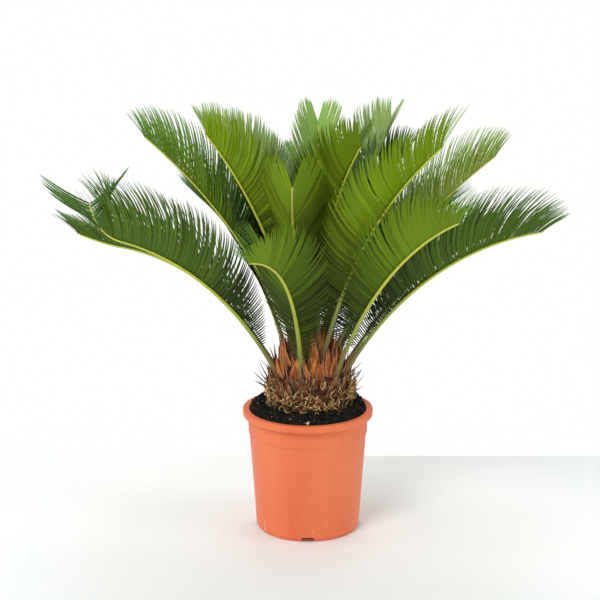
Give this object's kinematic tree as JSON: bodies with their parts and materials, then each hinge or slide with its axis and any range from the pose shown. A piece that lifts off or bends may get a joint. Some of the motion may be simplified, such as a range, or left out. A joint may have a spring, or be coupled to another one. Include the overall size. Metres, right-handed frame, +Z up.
{
  "type": "potted sago palm",
  "caption": "Young sago palm in a terracotta-coloured nursery pot: a squat caudex, a crown of bud scales and a rosette of arching, V-folded feather fronds.",
  "frame": {"origin": "the pot's axis at its flat underside", "axes": "+Z up; -Y is the front that the picture shows, +X its right"},
  "size_m": [0.8412, 0.7115, 0.7369],
  "materials": {
    "pot_plastic": "satin moulded plastic, faintly scuffed",
    "soil": "dark moist peat and bark",
    "leaf_bases": "dry fibrous leaf bases",
    "bud_scales": "felted rust-brown scales",
    "frond": "stiff, slightly glossy leaflets"
  },
  "bodies": {
    "root": {"pot": "pot_plastic", "soil": "soil", "trunk": "leaf_bases", "crown_scales": "bud_scales", "frond_left_low": "frond", "frond_right_low": "frond", "frond_front": "frond", "frond_right_front": "frond", "frond_right_tall": "frond", "frond_left_tall": "frond", "frond_left_steep": "frond", "frond_front_inner": "frond", "frond_right_steep": "frond", "frond_right_high": "frond", "frond_back_inner": "frond", "frond_right_far": "frond", "frond_left_behind": "frond", "frond_left_far": "frond", "frond_back_left_high": "frond", "frond_back_left": "frond", "frond_back_slim": "frond", "frond_right_behind": "frond", "frond_right_far_inner": "frond", "frond_back_low_right": "frond", "frond_back_low": "frond", "frond_back_low_left": "frond", "frond_back_low_far": "frond"}
  },
  "joints": []
}
